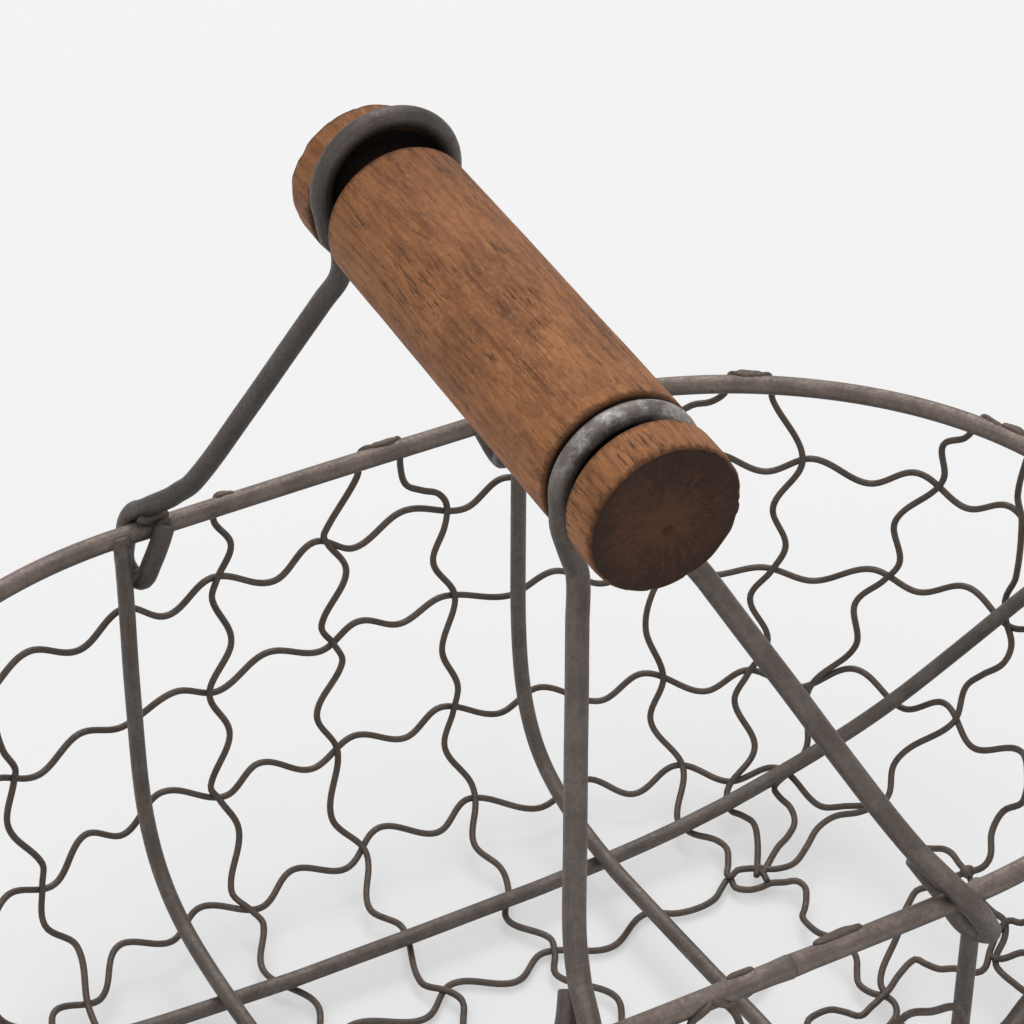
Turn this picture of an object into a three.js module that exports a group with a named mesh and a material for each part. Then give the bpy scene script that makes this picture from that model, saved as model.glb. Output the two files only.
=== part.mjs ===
// Wire basket with an oval rim, a wavy wire net and a wooden grip that turns in two bent wire loops.
// Millimetres, +Z up, length along X, standing on the floor at Z = 0.
import * as THREE from 'three';

// Wire diameters and the gap left between pieces that touch
const rimWire = 4.3;
const ribWire = 3.5;
const loopWire = 4.3;
const netWire = 1.5;
const clearance = 0.3;

// Oval rim: straight sides with half-elliptic ends
const rimHeight = 103;
const rimStraight = 42.5;
const rimEndReach = 98;
const rimHalfWidth = 87.7;
const rimSeam = -6;

// Hull below the rim: superelliptic walls, squarer on the sides than at the ends
const sideSquareness = 6.2;
const endSquareness = 2.5;

// Ribs inside the net
const crossRibPlace = 47;
const crossRibInset = 2.2;
const longRibHalfGap = 45.5;
const longRibStraight = 82;
const longRibOverreach = 1.5;

// Wooden grip and where it stands over the rim
const gripDiameter = 30;
const gripLength = 122;
const gripRise = 86;
const gripShiftX = -3.9;
const gripShiftY = 2;
const gripYaw = -2.21;
const gripPitch = 1.82;
const gripEdge = 1;
const grooveInset = 13.1;
const grooveDepth = 4.65;
const dimpleRadius = 1.2;
const dimpleDepth = 0.8;

// Handle loops: place in the groove, opening angle under the grip and bow of the legs.
// The far loop stands proud of its groove and the near one lies in it.
const farLoopShift = 1.4;
const farLoopSlack = 0.8;
const farLoopRise = 4.8;
const farLoopExit = 18;
const farLegBow = 2.5;
const nearLoopShift = -1.5;
const nearLoopExit = 38;
const nearLegBow = 1.2;
const legKneeShare = 0.18;
const loopNeckAngle = 58;

// Hooks of the loops round the rim, measured in from the cross ribs and from the rim
const shoulderInsetX = 12.7;
const shoulderInsetY = 9.3;
const shoulderRise = 12.4;
const farHookInset = 5.2;
const nearHookInset = 8.1;
const farHookArm = 3.4;
const nearHookArm = 1.4;
const farHookLean = 5.2;
const nearHookLean = 7.4;
const farHookDrop = 11.9;
const nearHookDrop = 8.4;
const nearTailInset = 10.5;
const nearTailSweep = 2;
const nearTailRise = 5.5;

// Net of crimped wires: hoops at these lengths down the wall, rising a little at the ends
const crimpPitch = 24.2;
const crimpHeight = 2.6;
const topHoopDepth = 23.2;
const upperHoopDepth = 49.5;
const middleHoopDepth = 77.5;
const lowerHoopDepth = 103;
const floorHoopDepth = 147;
const hoopEndRises = [0, 3, 5, 2, 18];
const hoopCrests = [-1, 9, 7, 7, 1];
const hoopCrimps = 34;
const hoopSeam = 20;

// Net wires across the basket and down its ends, with the depth of each one's first crest
const crossWirePitch = 28.2;
const crossWireShift = 4;
const crossWireDrift = -7;
const crossWireCrests = [13.3, 6.2, 23.3];
const endWireCount = 9;
const endWireStepRight = 16.3;
const endWireStepLeft = 17.8;
const endWireCrest = 20;
const endWireLength = 134;
const gatherAngle = 45;
const gatherSpread = 0.35;
const keelWireHalfLength = 66;
const rimHookAngle = 75;

// Facets
const wireSides = 8;
const ribSides = 6;
const gripSides = 24;
const rimSteps = 56;
const ribSteps = 9;
const profileSteps = 80;
const stepsPerCrimp = 3;

// Derived sizes
const squareWire = netWire * 0.9;
const wireOffset = Math.max(rimWire, ribWire) / 2 + netWire / 2 + clearance;
const hoopOffset = wireOffset + netWire + clearance;
const hullFloor = hoopOffset + squareWire / 2;
const hullDepth = rimHeight - hullFloor;
const endArc = Math.PI * (rimEndReach + rimHalfWidth) / 2;
const rimLength = 4 * rimStraight + 2 * endArc;
const gripRadius = gripDiameter / 2;
const grooveRadius = gripRadius - grooveDepth;
const grooveHalfWidth = loopWire / 2 + Math.max(Math.abs(farLoopShift), Math.abs(nearLoopShift)) + clearance;
const loopRadius = grooveRadius + clearance + loopWire / 2;
const hookReach = rimWire / 2 + loopWire / 2 + clearance;
const longRibEndReach = rimStraight + rimEndReach + longRibOverreach - longRibStraight;
const hoopDepths = [topHoopDepth, upperHoopDepth, middleHoopDepth, lowerHoopDepth, floorHoopDepth];
const radians = THREE.MathUtils.degToRad;

const colours = {
  wire: { color: 0x4a4340, roughness: 0.55, metalness: 0.6 },
  net: { color: 0x3a3330, roughness: 0.6, metalness: 0.5 },
  wood: { color: 0x8c5c3c, roughness: 0.75, metalness: 0 },
};
const basket = new THREE.Group();

function addPiece(name, geometry, finish, parent = basket) {
  const piece = new THREE.Mesh(geometry, new THREE.MeshStandardMaterial(colours[finish]));
  piece.name = name;
  parent.add(piece);
  return piece;
}

// A path through given points, with one ring of the swept wire at each point
class WirePath extends THREE.Curve {
  constructor(points, normals) {
    super();
    this.points = points;
    this.normals = normals;
  }

  getPoint(t) {
    return this.points[Math.round(t * (this.points.length - 1))].clone();
  }

  getPointAt(t) {
    return this.getPoint(t);
  }

  getTangentAt(t) {
    const last = this.points.length - 1;
    const index = Math.round(t * last);
    const before = this.points[Math.max(index - 1, 0)];
    const after = this.points[Math.min(index + 1, last)];
    const here = this.points[index];
    const arriving = here.clone().sub(before).normalize();
    const leaving = after.clone().sub(here).normalize();
    return arriving.add(leaving).normalize();
  }

  computeFrenetFrames(steps, closed) {
    if (!this.normals) {
      return super.computeFrenetFrames(steps, closed);
    }
    const frames = { tangents: [], normals: [], binormals: [] };
    this.points.forEach((point, index) => {
      const tangent = this.getTangentAt(index / steps);
      const binormal = tangent.clone().cross(this.normals[index]).normalize();
      frames.tangents.push(tangent);
      frames.binormals.push(binormal);
      frames.normals.push(binormal.clone().cross(tangent));
    });
    return frames;
  }
}

function sweep(section, points, normals) {
  const path = new WirePath(points, normals);
  return new THREE.ExtrudeGeometry(section, { steps: points.length - 1, extrudePath: path });
}

function roundSection(diameter, sides) {
  const corners = [];
  for (let corner = 0; corner < sides; corner += 1) {
    const angle = 2 * Math.PI * (corner + 0.5) / sides;
    corners.push(new THREE.Vector2(Math.cos(angle), Math.sin(angle)).multiplyScalar(diameter / 2));
  }
  return new THREE.Shape(corners);
}

function squareSection(side) {
  const half = side / 2;
  const corners = [[-half, -half], [half, -half], [half, half], [-half, half]];
  return new THREE.Shape(corners.map(([x, y]) => new THREE.Vector2(x, y)));
}

// Position along the rim, measured from the middle of the far side towards +X
function rimPlace(along) {
  const turned = THREE.MathUtils.euclideanModulo(along + rimStraight, rimLength);
  if (turned < 2 * rimStraight) {
    return { x: turned - rimStraight, end: 1, angle: 0 };
  }
  if (turned < 2 * rimStraight + endArc) {
    return { x: rimStraight, end: 1, angle: Math.PI * (turned - 2 * rimStraight) / endArc };
  }
  if (turned < 4 * rimStraight + endArc) {
    return { x: 3 * rimStraight + endArc - turned, end: 1, angle: Math.PI };
  }
  return { x: -rimStraight, end: -1, angle: Math.PI * (rimLength - turned) / endArc };
}

function alongAtEnd(end, degrees) {
  return end * (rimStraight + endArc * degrees / 180);
}

function outwardAt(place) {
  return new THREE.Vector3(
    place.end * rimEndReach * Math.sin(place.angle),
    rimHalfWidth * Math.cos(place.angle),
    0,
  );
}

function squarenessAt(angle) {
  return THREE.MathUtils.lerp(sideSquareness, endSquareness, Math.sin(angle) ** 2);
}

// Section down the wall to the middle of the floor, on the hull or outside it by offset
function wallProfile(along, offset) {
  const place = rimPlace(along);
  const outward = outwardAt(place);
  const reach = outward.length();
  const power = squarenessAt(place.angle);
  const corner = 0.5 ** (1 / power);
  const other = (share) => (1 - share ** power) ** (1 / power);
  const samples = [];
  let length = 0;
  for (let step = 0; step <= profileSteps; step += 1) {
    const walk = 2 * step / profileSteps;
    const drop = walk < 1 ? walk * corner : other((2 - walk) * corner);
    const spread = walk < 1 ? other(walk * corner) : (2 - walk) * corner;
    const normal = new THREE.Vector2(spread ** (power - 1) / reach, -(drop ** (power - 1)) / hullDepth);
    normal.normalize();
    const point = new THREE.Vector2(reach * spread, rimHeight - hullDepth * drop);
    point.addScaledVector(normal, offset);
    length += step > 0 ? point.distanceTo(samples[step - 1].point) : 0;
    samples.push({ point, normal, length });
  }
  return { place, plan: outward.normalize(), samples };
}

function wallLength(along, offset) {
  return wallProfile(along, offset).samples[profileSteps].length;
}

// Point and outward normal at a length down the wall from the rim
function hullPoint(along, depth, offset) {
  const { place, plan, samples } = wallProfile(along, offset);
  const reached = samples.findIndex((sample) => sample.length >= depth);
  const after = samples[reached < 0 ? profileSteps : Math.max(reached, 1)];
  const before = samples[samples.indexOf(after) - 1];
  const part = Math.min((depth - before.length) / (after.length - before.length), 1);
  const section = before.point.clone().lerp(after.point, part);
  const slope = before.normal.clone().lerp(after.normal, part).normalize();
  const point = plan.clone().multiplyScalar(section.x);
  point.x += place.x;
  point.z = section.y;
  const normal = plan.clone().multiplyScalar(slope.x);
  normal.z = slope.y;
  return { point, normal };
}

// Height of the hull's own surface over a point of the floor plan
function hullHeight(x, y) {
  const lengthShare = Math.max(Math.abs(x) - rimStraight, 0) / rimEndReach;
  const widthShare = Math.abs(y) / rimHalfWidth;
  const spread = Math.min(Math.hypot(lengthShare, widthShare), 1);
  const power = squarenessAt(Math.atan2(lengthShare, widthShare));
  return rimHeight - hullDepth * (1 - spread ** power) ** (1 / power);
}

function rimPoint(along) {
  const place = rimPlace(along);
  const point = outwardAt(place);
  point.x += place.x;
  point.z = rimHeight;
  return point;
}

// Rim, a ring whose two ends butt together on the near side
function makeRim() {
  const seam = 2 * rimStraight + endArc + rimSeam;
  const points = [];
  for (let step = 0; step <= rimSteps; step += 1) {
    const along = seam + clearance / 2 + (rimLength - clearance) * step / rimSteps;
    points.push(rimPoint(along));
  }
  addPiece('rim_ring', sweep(roundSection(rimWire, wireSides), points), 'wire');
}

const ribTop = rimHeight - rimWire / 2 - clearance;

// U-shaped ribs across the basket, resting on the long ribs
function makeCrossRib(name, x) {
  const floor = hullFloor + ribWire + clearance;
  const depth = rimHeight - floor;
  const halfWidth = Math.abs(rimPoint(x).y) - crossRibInset;
  const corner = 0.5 ** (1 / sideSquareness);
  const other = (share) => (1 - share ** sideSquareness) ** (1 / sideSquareness);
  const steps = ribSteps;
  const half = [];
  for (let step = 0; step <= steps; step += 1) {
    const drop = THREE.MathUtils.lerp((rimHeight - ribTop) / depth, corner, step / steps);
    half.push(new THREE.Vector2(halfWidth * other(drop), rimHeight - depth * drop));
  }
  for (let step = 1; step < steps; step += 1) {
    const spread = corner * (1 - step / steps);
    half.push(new THREE.Vector2(halfWidth * spread, rimHeight - depth * other(spread)));
  }
  const far = half.map((point) => new THREE.Vector3(x, point.x, point.y));
  const near = half.map((point) => new THREE.Vector3(x, -point.x, point.y)).reverse();
  addPiece(name, sweep(roundSection(ribWire, ribSides), [...far, ...near]), 'wire');
}

// Ribs along the basket, which draw together as they climb to the ends of the rim
function longRibPoint(turn, side) {
  const x = longRibStraight + longRibEndReach * Math.sin(turn);
  const y = longRibHalfGap * Math.cos(turn);
  return new THREE.Vector3(x, side * y, hullHeight(x, y));
}

function longRibEnd() {
  let low = 0;
  let high = Math.PI / 2;
  for (let halving = 0; halving < 40; halving += 1) {
    const middle = (low + high) / 2;
    if (longRibPoint(middle, 1).z < ribTop) {
      low = middle;
    } else {
      high = middle;
    }
  }
  return low;
}

function makeLongRib(name, side) {
  const endTurn = longRibEnd();
  const endSteps = 16;
  const floorSteps = 4;
  const right = [];
  for (let step = 1; step <= floorSteps; step += 1) {
    const x = longRibStraight * step / floorSteps;
    right.push(new THREE.Vector3(x, side * longRibHalfGap, hullHeight(x, longRibHalfGap)));
  }
  for (let step = 1; step <= endSteps; step += 1) {
    const share = 1 - (1 - step / endSteps) ** 2;
    right.push(longRibPoint(endTurn * share, side));
  }
  const left = right.map((point) => new THREE.Vector3(-point.x, point.y, point.z)).reverse();
  addPiece(name, sweep(roundSection(ribWire, ribSides), [...left, ...right]), 'wire');
}

// The grip's own frame: its length along Y, turned a little out of line with the basket
const gripFrame = new THREE.Group();
gripFrame.position.set(gripShiftX, gripShiftY, rimHeight + gripRise);
gripFrame.rotation.set(radians(gripPitch), 0, radians(gripYaw), 'ZXY');
gripFrame.updateMatrixWorld();
basket.add(gripFrame);

function makeGrip() {
  const half = gripLength / 2;
  const groove = half - grooveInset;
  const outline = [
    [0, -half + dimpleDepth],
    [dimpleRadius, -half],
    [gripRadius - gripEdge, -half],
    [gripRadius, -half + gripEdge],
  ];
  for (const middle of [-groove, groove]) {
    outline.push([gripRadius, middle - grooveHalfWidth]);
    outline.push([grooveRadius, middle - grooveHalfWidth]);
    outline.push([grooveRadius, middle + grooveHalfWidth]);
    outline.push([gripRadius, middle + grooveHalfWidth]);
  }
  outline.push([gripRadius, half - gripEdge], [gripRadius - gripEdge, half], [dimpleRadius, half]);
  outline.push([0, half - dimpleDepth]);
  const profile = outline.map(([radius, y]) => new THREE.Vector2(radius, y));
  addPiece('grip', new THREE.LatheGeometry(profile, gripSides), 'wood', gripFrame);
}

// Handle loops: each goes over the grip in its groove and down two legs to hooks round the rim
function loopLeg(side, end, grooveY) {
  const neck = radians(loopNeckAngle);
  const neckRadius = gripRadius + loopWire;
  const under = gripFrame.localToWorld(new THREE.Vector3(
    end * neckRadius * Math.cos(neck),
    grooveY + side * clearance,
    -neckRadius * Math.sin(neck),
  ));
  const rimY = Math.abs(rimPoint(crossRibPlace).y);
  const inRim = (inset, outward, rise) => new THREE.Vector3(
    end * (crossRibPlace - inset),
    side * (rimY + outward),
    rimHeight + rise,
  );
  const shoulder = inRim(shoulderInsetX, -shoulderInsetY, shoulderRise);
  const knee = under.clone().lerp(shoulder, legKneeShare);
  knee.y += side * (side > 0 ? farLegBow : nearLegBow);
  const onLeg = (share) => knee.clone().lerp(shoulder, share);
  const crossing = side > 0 ? farHookInset : nearHookInset;
  const arm = side > 0 ? farHookArm : nearHookArm;
  const lean = side > 0 ? farHookLean : nearHookLean;
  const depth = side > 0 ? farHookDrop : nearHookDrop;
  const onArm = (share, outward, dropShare) => inRim(arm + share * lean, outward, -dropShare * depth);
  const toCrossing = (share) => THREE.MathUtils.lerp(shoulderInsetX, crossing, share);
  const toArm = (share) => THREE.MathUtils.lerp(crossing, arm, share);
  const drop = shoulderRise - hookReach;
  const slant = hookReach * Math.SQRT1_2;
  const inside = -hookReach - clearance;
  const leg = [
    under,
    knee,
    onLeg(0.35),
    onLeg(0.7),
    onLeg(0.95),
    inRim(toCrossing(0.1), -0.5 * shoulderInsetY, hookReach + 0.62 * drop),
    inRim(toCrossing(0.45), -0.2 * shoulderInsetY, hookReach + 0.22 * drop),
    inRim(crossing, 0, hookReach),
    inRim(toArm(0.35), slant, slant),
    inRim(toArm(0.65), hookReach, -clearance),
    onArm(0, hookReach, 0.5),
    onArm(0.1, slant, 0.86),
    onArm(0.3, 0, 1),
    onArm(0.57, -slant, 0.86),
    onArm(0.78, inside, 0.5),
    onArm(1, inside, 0),
  ];
  if (side < 0) {
    leg.push(inRim(nearTailInset - nearTailSweep, 0.4 * inside - 0.5 * shoulderInsetY, 0.48 * nearTailRise));
    leg.push(inRim(nearTailInset, -shoulderInsetY, nearTailRise));
  }
  return leg;
}

function makeLoop(name, side) {
  const half = gripLength / 2 - grooveInset;
  const shift = side > 0 ? farLoopShift : nearLoopShift;
  const radius = side > 0 ? loopRadius + farLoopSlack : loopRadius;
  const rise = side > 0 ? farLoopRise : 0;
  const exit = radians(side > 0 ? farLoopExit : nearLoopExit);
  const grooveY = side * (half + shift);
  const ringSteps = 12;
  const ring = [];
  for (let step = 0; step <= ringSteps; step += 1) {
    const angle = THREE.MathUtils.lerp(Math.PI + exit, -exit, step / ringSteps);
    const local = new THREE.Vector3(radius * Math.cos(angle), grooveY, rise + radius * Math.sin(angle));
    ring.push(gripFrame.localToWorld(local));
  }
  const left = loopLeg(side, -1, grooveY).reverse();
  const right = loopLeg(side, 1, grooveY);
  const guide = new THREE.CatmullRomCurve3([...left, ...ring, ...right]);
  const points = guide.getPoints(2 * (guide.points.length - 1));
  addPiece(name, sweep(roundSection(loopWire, ribSides), points), 'wire');
}

// Sideways crimp of a net wire that runs down the wall, fading in below the rim
function wallCrimp(depth, crest) {
  const fade = THREE.MathUtils.smoothstep(depth, 0, hoopDepths[0]);
  return fade * crimpHeight * Math.cos(2 * Math.PI * (depth - crest) / crimpPitch);
}

// End of a net wire, bent over the top of the rim
function rimHook(along) {
  const foot = hullPoint(along, 0, wireOffset);
  const bend = [];
  for (const share of [1, 0.5]) {
    const angle = radians(rimHookAngle) * share;
    const normal = foot.normal.clone().multiplyScalar(Math.cos(angle));
    normal.z = Math.sin(angle);
    const point = foot.point.clone().addScaledVector(foot.normal, -wireOffset);
    bend.push({ point: point.addScaledVector(normal, wireOffset), normal });
  }
  return bend;
}

function netPiece(name, track) {
  const points = track.map((place) => place.point);
  const normals = track.map((place) => place.normal);
  addPiece(name, sweep(squareSection(squareWire), points, normals), 'net');
}

function mirrorY(place) {
  const turned = ({ x, y, z }) => new THREE.Vector3(x, -y, z);
  return { point: turned(place.point), normal: turned(place.normal) };
}

// Wires right across the basket, from rim to rim
function makeCrossWires() {
  crossWireCrests.forEach((crest, index) => {
    const along = crossWireShift + (index - 1) * crossWirePitch;
    const length = wallLength(along, wireOffset);
    const steps = Math.round(stepsPerCrimp * length / crimpPitch);
    const half = rimHook(along);
    for (let step = 0; step < steps; step += 1) {
      const depth = length * step / steps;
      const drift = crossWireDrift * depth / length;
      half.push(hullPoint(along + drift + wallCrimp(depth, crest), depth, wireOffset));
    }
    const other = half.map(mirrorY).reverse();
    netPiece(`net_cross_wire_${index + 1}`, [...half, ...other]);
  });
}

// Wires down each rounded end, drawing together towards the floor
function makeEndWires(label, end, angleStep) {
  const middle = (endWireCount - 1) / 2;
  const steps = Math.round(stepsPerCrimp * endWireLength / crimpPitch);
  for (let index = 0; index < endWireCount; index += 1) {
    const degrees = 90 + (index - middle) * angleStep;
    const target = index < middle ? gatherAngle : 180 - gatherAngle;
    const gathered = index === middle ? 90 : target + (degrees - target) * gatherSpread;
    const track = rimHook(alongAtEnd(end, degrees));
    for (let step = 0; step <= steps; step += 1) {
      const depth = endWireLength * step / steps;
      const drawn = (step / steps) ** 1.5;
      const turn = THREE.MathUtils.lerp(degrees, gathered, drawn);
      const crimp = wallCrimp(depth, endWireCrest) * (1 - 0.5 * drawn);
      track.push(hullPoint(alongAtEnd(end, turn) + crimp, depth, wireOffset));
    }
    netPiece(`net_end_wire_${label}_${index + 1}`, track);
  }
}

// Hoops right round the basket, outside the other net wires
function makeHoops() {
  const steps = stepsPerCrimp * hoopCrimps;
  const pitch = rimLength / hoopCrimps;
  const seam = 2 * rimStraight + endArc + hoopSeam;
  hoopDepths.forEach((depth, index) => {
    const track = [];
    for (let step = 0; step <= steps; step += 1) {
      const along = seam + (rimLength - clearance) * step / steps;
      const place = rimPlace(along);
      const turned = Math.sin(place.angle);
      const middle = depth - hoopEndRises[index] * turned;
      const foot = hullPoint(along, middle, hoopOffset).point;
      const share = Math.hypot(foot.x - place.x, foot.y) / outwardAt(place).length();
      const height = crimpHeight * THREE.MathUtils.lerp(1, share, turned);
      const crimp = height * Math.cos(2 * Math.PI * (along - hoopCrests[index]) / pitch);
      track.push(hullPoint(along, middle - crimp, hoopOffset));
    }
    netPiece(`net_hoop_${index + 1}`, track);
  });
}

// One crimped wire along the middle of the floor
function makeKeelWire() {
  const pitch = rimLength / hoopCrimps;
  const steps = Math.round(stepsPerCrimp * 2 * keelWireHalfLength / pitch);
  const track = [];
  for (let step = 0; step <= steps; step += 1) {
    const x = keelWireHalfLength * (2 * step / steps - 1);
    const y = crimpHeight * Math.cos(2 * Math.PI * x / pitch);
    const point = new THREE.Vector3(x, y, squareWire / 2);
    track.push({ point, normal: new THREE.Vector3(0, 0, -1) });
  }
  netPiece('net_keel_wire', track);
}

makeRim();
makeCrossRib('cross_rib_left', -crossRibPlace);
makeCrossRib('cross_rib_right', crossRibPlace);
makeLongRib('long_rib_far', 1);
makeLongRib('long_rib_near', -1);
makeGrip();
makeLoop('handle_loop_far', 1);
makeLoop('handle_loop_near', -1);
makeCrossWires();
makeEndWires('left', -1, endWireStepLeft);
makeEndWires('right', 1, endWireStepRight);
makeHoops();
makeKeelWire();

export default basket;
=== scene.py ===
import math
import bmesh
import bpy
import numpy as np
from mathutils import Euler, Matrix, Quaternion, Vector, noise
from mathutils.geometry import interpolate_bezier


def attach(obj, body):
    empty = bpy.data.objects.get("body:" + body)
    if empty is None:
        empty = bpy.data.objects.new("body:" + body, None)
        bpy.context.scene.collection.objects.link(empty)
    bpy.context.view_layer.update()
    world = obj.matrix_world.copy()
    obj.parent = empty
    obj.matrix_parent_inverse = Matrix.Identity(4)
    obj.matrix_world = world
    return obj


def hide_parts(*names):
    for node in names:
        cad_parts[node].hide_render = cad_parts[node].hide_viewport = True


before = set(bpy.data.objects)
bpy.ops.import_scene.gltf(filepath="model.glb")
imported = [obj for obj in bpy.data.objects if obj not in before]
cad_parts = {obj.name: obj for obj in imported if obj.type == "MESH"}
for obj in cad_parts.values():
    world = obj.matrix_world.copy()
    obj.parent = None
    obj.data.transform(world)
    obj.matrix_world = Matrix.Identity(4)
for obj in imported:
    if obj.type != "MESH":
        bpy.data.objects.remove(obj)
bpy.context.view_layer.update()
print("frame loaded:", len(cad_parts), "nodes")

# All shapes are worked out in millimetres and scaled once at the end
millimetre = 0.001
upward = Vector((0, 0, 1))
noise.seed_set(5)  # the same hand-bent wobble each run

hull = {
    "rimHeight": 103.0, "straight": 42.5, "endReach": 98.0, "halfWidth": 87.7, "floor": 5.675,
    "sideSquareness": 6.2, "endSquareness": 2.5, "samples": 140, "rimRaise": 0.3, "rimTilt": 0.003,
}
endArc = math.pi * (hull["endReach"] + hull["halfWidth"]) / 2
rimLength = 4 * hull["straight"] + 2 * endArc
nearMiddle = 2 * hull["straight"] + endArc
hullDepth = hull["rimHeight"] - hull["floor"]


def blend(a, b, share):
    return a + (b - a) * share


def rimPlace(along):
    straight = hull["straight"]
    turned = (along + straight) % rimLength
    if turned < 2 * straight:
        return turned - straight, 1, 0.0
    if turned < 2 * straight + endArc:
        return straight, 1, math.pi * (turned - 2 * straight) / endArc
    if turned < 4 * straight + endArc:
        return 3 * straight + endArc - turned, 1, math.pi
    return -straight, -1, math.pi * (rimLength - turned) / endArc


def squarenessAt(angle):
    return blend(hull["sideSquareness"], hull["endSquareness"], math.sin(angle) ** 2)


# Section of the wall from rim to mid floor, outside the hull by offset
def wallSection(along, offset):
    x, end, angle = rimPlace(along)
    out = Vector((end * hull["endReach"] * math.sin(angle), hull["halfWidth"] * math.cos(angle), 0))
    power = squarenessAt(angle)
    walk = np.linspace(0, 2, hull["samples"])
    share = np.where(walk < 1, walk, 2 - walk) * 0.5 ** (1 / power)
    other = (1 - share ** power) ** (1 / power)
    drop = np.where(walk < 1, share, other)
    spread = np.where(walk < 1, other, share)
    normal = np.array([spread ** (power - 1) / out.length, -(drop ** (power - 1)) / hullDepth])
    normal /= np.linalg.norm(normal, axis=0)
    section = np.array([out.length * spread, hull["rimHeight"] - hullDepth * drop]) + offset * normal
    lengths = np.concatenate([[0], np.cumsum(np.hypot(*np.diff(section)))])
    return x, out.normalized(), section, lengths


def wallPoint(along, depth, offset):
    x, plan, section, lengths = wallSection(along, offset)
    if depth < 0:
        return plan * section[0][0] + Vector((x, 0, section[1][0] - depth))
    point = plan * float(np.interp(depth, lengths, section[0]))
    point.x += x
    point.z = float(np.interp(depth, lengths, section[1]))
    return point


def wallLength(along, offset):
    return float(wallSection(along, offset)[3][-1])


def hullHeight(x, y):
    lengthShare = max(abs(x) - hull["straight"], 0) / hull["endReach"]
    widthShare = abs(y) / hull["halfWidth"]
    spread = min(math.hypot(lengthShare, widthShare), 1)
    power = squarenessAt(math.atan2(lengthShare, widthShare))
    return hull["rimHeight"] - hullDepth * (1 - spread ** power) ** (1 / power)


# Point beside the rim wire: degrees turn from outward to upward
def besideRim(along, degrees, distance):
    x, end, angle = rimPlace(along)
    out = Vector((end * hull["endReach"] * math.sin(angle), hull["halfWidth"] * math.cos(angle), 0))
    away = Vector((out.x / hull["endReach"] ** 2, out.y / hull["halfWidth"] ** 2, 0)).normalized()
    turn = math.radians(degrees)
    centre = out + Vector((x, 0, hull["rimHeight"] + hull["rimRaise"]))
    centre.z += hull["rimTilt"] * centre.x
    return centre + distance * (math.cos(turn) * away + math.sin(turn) * upward)


# Smooth line through guide points, with points about one step apart
def smoothPath(points, step):
    points = [Vector(point) for point in points]
    last = len(points) - 1
    slopes = [(points[min(i + 1, last)] - points[max(i - 1, 0)]).normalized() for i in range(last + 1)]
    line = [points[0]]
    for i in range(last):
        reach = (points[i + 1] - points[i]).length / 3
        count = max(3, math.ceil(3 * reach / step) + 1)
        start = points[i] + slopes[i] * reach
        finish = points[i + 1] - slopes[i + 1] * reach
        line += interpolate_bezier(points[i], start, finish, points[i + 1], count)[1:]
    return line


def wobble(path, size, scale, seed):
    shift = Vector((seed, 2.7 * seed, -1.3 * seed))
    return [point + size * noise.noise_vector(point * scale + shift) for point in path]


def newShape():
    shape = bmesh.new()
    shape.verts.layers.float_vector.new("wireSpace")
    shape.verts.layers.float.new("weldMark")
    return shape


wireEnd = [(0.16, 0.92), (0.22, 0.7)]  # rounding of a cut end: reach and girth as shares of the radius


# Round wire along a path; girth gives its thickness as a share, by length run
def sweepWire(shape, path, radius, sides, girth=None):
    layer = shape.verts.layers.float_vector["wireSpace"]
    last = len(path) - 1
    tangents = [(path[min(i + 1, last)] - path[max(i - 1, 0)]).normalized() for i in range(last + 1)]
    turn = tangents[0].to_track_quat("Z", "Y")
    rings = []
    run = 0
    for i, point in enumerate(path):
        if i:
            turn = tangents[i - 1].rotation_difference(tangents[i]) @ turn
            run += (point - path[i - 1]).length
        rings.append((point, turn.copy(), girth(run) if girth else 1.0, run))
    for reach, size in wireEnd:
        rings.insert(0, (path[0] - tangents[0] * radius * reach, rings[0][1], size, 0))
        rings.append((path[last] + tangents[last] * radius * reach, rings[-1][1], size, run))
    before = None
    for point, turn, size, run in rings:
        pose = Matrix.LocRotScale(point, turn, Vector((size, size, size)))
        if before is None:
            verts = bmesh.ops.create_circle(shape, segments=sides, radius=radius, matrix=pose)["verts"]
            edges = list(dict.fromkeys(edge for vert in verts for edge in vert.link_edges))
            bmesh.ops.contextual_create(shape, geom=edges)
        else:
            grown = bmesh.ops.extrude_edge_only(shape, edges=edges)["geom"]
            verts = [item for item in grown if isinstance(item, bmesh.types.BMVert)]
            chosen = set(verts)
            edges = [item for item in grown if isinstance(item, bmesh.types.BMEdge)]
            edges = [edge for edge in edges if set(edge.verts) <= chosen]
            bmesh.ops.transform(shape, matrix=pose @ before.inverted(), verts=verts)
        before = pose
        inverse = pose.inverted()
        for vert in verts:
            local = inverse @ vert.co
            vert[layer] = (run, local.x, local.y)
    bmesh.ops.contextual_create(shape, geom=edges)


lumpPlan = {"squareness": 0.72, "dent": 0.3, "dentScale": 0.45}


# Small pad of weld metal, squarer than a ball
def addLump(shape, centre, radii, turn, seed):
    layer = shape.verts.layers.float_vector["wireSpace"]
    mark = shape.verts.layers.float["weldMark"]
    pose = Matrix.LocRotScale(centre, turn, Vector(radii))
    for vert in bmesh.ops.create_icosphere(shape, subdivisions=3, radius=1)["verts"]:
        square = Vector([math.copysign(abs(part) ** lumpPlan["squareness"], part) for part in vert.co])
        vert.co = pose @ square
        dent = noise.noise_vector(vert.co * lumpPlan["dentScale"] + Vector((seed, 0, 0)))
        vert.co += lumpPlan["dent"] * dent
        vert[layer] = vert.co
        vert[mark] = 1.0


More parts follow.
